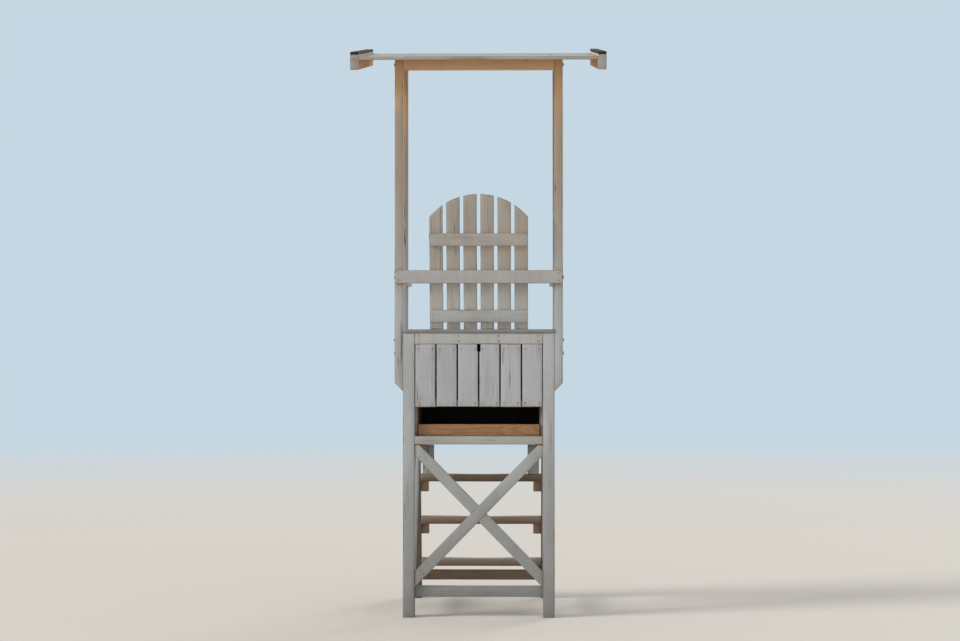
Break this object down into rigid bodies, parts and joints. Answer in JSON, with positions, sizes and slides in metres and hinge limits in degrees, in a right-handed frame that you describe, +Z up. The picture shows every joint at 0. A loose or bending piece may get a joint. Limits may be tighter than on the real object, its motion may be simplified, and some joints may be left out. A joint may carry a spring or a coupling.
{
  "type": "lifeguard chair tower",
  "caption": "Open timber beach tower with a high slatted seat, storage box beneath it, front ladder, guard rails and a thin sloping roof on posts.",
  "frame": {"origin": "on the ground, at the middle of the tower's bounding box seen from above", "axes": "+Z up, +Y towards the ladder at the front, +X to the right as seen from behind"},
  "size_m": [1.52, 1.2656, 3.5747],
  "materials": {
    "white_paint": "weathered off-white paint on sawn timber",
    "bare_timber": "unpainted softwood, weathered tan",
    "worn_timber": "paint worn away by feet, greyed brown timber",
    "black_strip": "matt black rubber strip",
    "rusty_steel": "zinc-plated nails, screws and bolts, rusted by salt air"
  },
  "bodies": {
    "root": {"rear_leg_left": "white_paint", "rear_leg_right": "white_paint", "front_leg_left": "white_paint", "front_leg_right": "white_paint", "rear_bottom_rail": "white_paint", "front_bottom_rail": "worn_timber", "side_bottom_rails": "white_paint", "rear_brace_rising": "white_paint", "rear_brace_falling": "white_paint", "side_braces": "white_paint", "rear_middle_rail": "white_paint", "floor_bearers": "bare_timber", "box_floor": "bare_timber", "box_lip_board": "bare_timber", "box_rear_boards": "white_paint", "box_rear_rails": "white_paint", "box_top_rail": "white_paint", "box_left_boards": "white_paint", "box_right_boards": "white_paint", "box_front_boards": "white_paint", "side_seat_rails": "white_paint", "front_seat_rail": "white_paint", "seat_slats": "white_paint", "back_slats": "white_paint", "back_lower_batten": "white_paint", "back_upper_batten": "white_paint", "rear_guard_rail": "white_paint", "side_guard_rails": "white_paint", "rear_post_left": "white_paint", "rear_post_right": "white_paint", "front_post_left": "white_paint", "front_post_right": "white_paint", "rear_header": "bare_timber", "front_header": "bare_timber", "roof_bearers": "bare_timber", "roof_boards": "white_paint", "roof_beam_left": "white_paint", "roof_beam_right": "white_paint", "roof_edge_strips": "black_strip", "tread_1": "worn_timber", "tread_2": "worn_timber", "tread_3": "worn_timber", "tread_cleats": "worn_timber", "footrest_uprights": "white_paint", "footrest": "worn_timber"}
  },
  "joints": []
}
